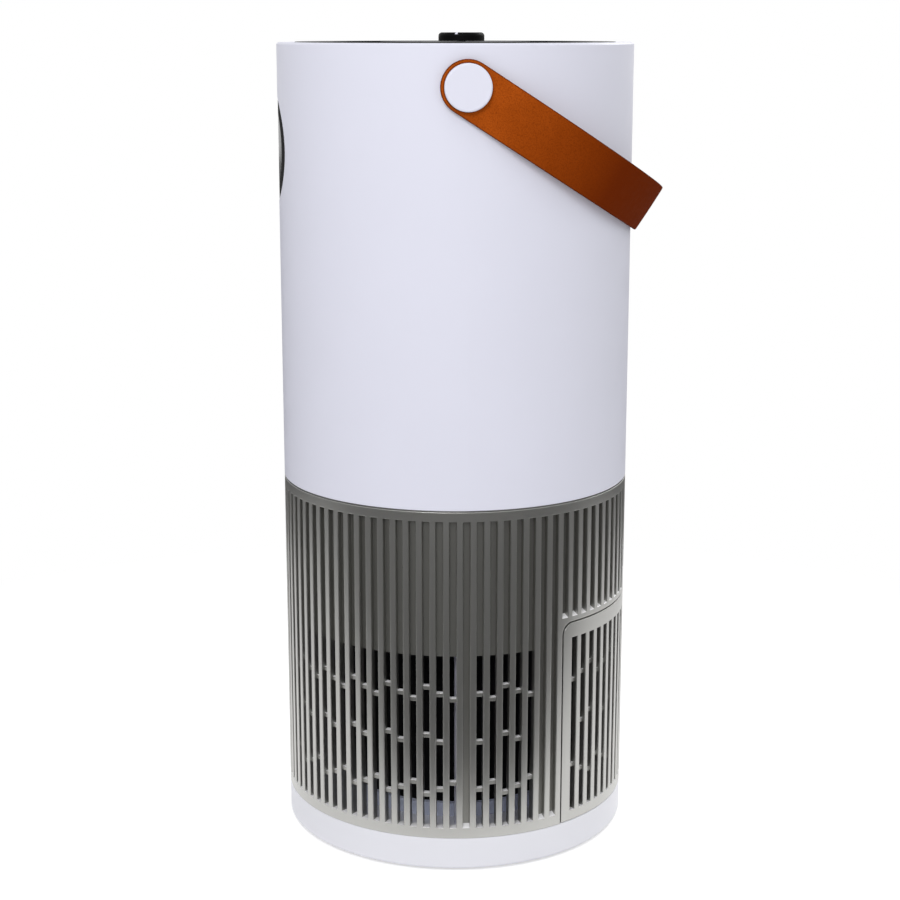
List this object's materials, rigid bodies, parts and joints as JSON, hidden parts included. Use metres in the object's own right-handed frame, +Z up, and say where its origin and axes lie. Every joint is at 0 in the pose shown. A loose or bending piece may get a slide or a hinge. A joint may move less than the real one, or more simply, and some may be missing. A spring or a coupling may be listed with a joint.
{
  "type": "air purifier",
  "caption": "Round tower air purifier: white shell with round window, slotted grey intake with rear filter door, black top outlet with dial, leather strap handle.",
  "frame": {"origin": "centre of the foot ring's underside, on the floor", "axes": "+Z up along the tower's axis, -Y to the front with the round window, +X to one strap pivot"},
  "size_m": [0.215, 0.2181, 0.4603],
  "materials": {
    "shell_white": "fine satin",
    "housing_grey": "satin metallic paint",
    "black_satin": "satin",
    "black_gloss": "gloss",
    "window_black": "gloss, smoked",
    "natural_plastic": "matt",
    "steel": "zinc plated",
    "motor_steel": "cast",
    "brass": "satin",
    "rubber": "matt",
    "leather": "waxed, fine grain",
    "filter_cap": "matt",
    "filter_paper": "pleated",
    "carbon_mesh": "fine mesh",
    "foam": "closed cell",
    "tab_fabric": "woven",
    "circuit_board": "solder mask"
  },
  "bodies": {
    "body": {"base_tray": "shell_white", "base_plate": "black_satin", "base_screws": "steel", "foot_ring": "rubber", "power_jack": "black_satin", "jack_pin": "brass", "intake_housing": "housing_grey", "catch_plates": "steel", "support_posts": "natural_plastic", "fan_deck": "natural_plastic", "deck_screws": "steel", "fan_housing": "black_satin", "motor": "motor_steel", "motor_screws": "steel", "outlet_duct": "black_satin", "main_board": "circuit_board", "board_parts": "black_gloss", "board_screws": "steel", "upper_shell": "shell_white", "window_lens": "window_black", "window_holder": "black_satin", "display_board": "circuit_board", "outlet_grille": "black_satin", "control_panel": "black_gloss", "control_board": "circuit_board", "control_screws": "steel", "encoder": "black_satin", "pivot_studs": "steel", "pivot_buttons": "shell_white", "pivot_washers": "steel", "pivot_nuts": "steel"},
    "handle": {"handle_strap": "leather", "strap_eyelets": "brass"},
    "dial": {"control_knob": "black_gloss", "knob_pointer": "shell_white", "encoder_shaft": "steel"},
    "fan": {"impeller": "black_satin", "motor_shaft": "steel", "hub_nut": "brass"},
    "door": {"filter_door": "housing_grey", "door_magnets": "steel"},
    "filter": {"filter_bottom_cap": "filter_cap", "filter_top_cap": "black_satin", "prefilter_mesh": "carbon_mesh", "filter_media": "filter_paper", "filter_gasket": "foam", "filter_pull_tab": "tab_fabric"}
  },
  "joints": [
    {"name": "handle_swing", "type": "hinge", "parent": "body", "child": "handle", "pos_m": [0, 0, 0.433], "axis": [1, 0, 0], "range_deg": [0, 245.5]},
    {"name": "dial_turn", "type": "hinge", "parent": "body", "child": "dial", "pos_m": [0, 0.0035, 0.4557], "axis": [0, 0, -1], "range_deg": [0, 270]},
    {"name": "fan_spin", "type": "hinge", "parent": "body", "child": "fan", "pos_m": [0, 0, 0.17], "axis": [0, 0, 1], "continuous": true},
    {"name": "door_slide", "type": "slide", "parent": "body", "child": "door", "axis": [0, 1, 0], "range_m": [0, 0.175]},
    {"name": "filter_slide", "type": "slide", "parent": "body", "child": "filter", "axis": [0, 1, 0], "range_m": [0, 0.175]}
  ],
  "couplings": [
    {"joint": "filter_slide", "follows": "door_slide", "ratio": 1}
  ]
}
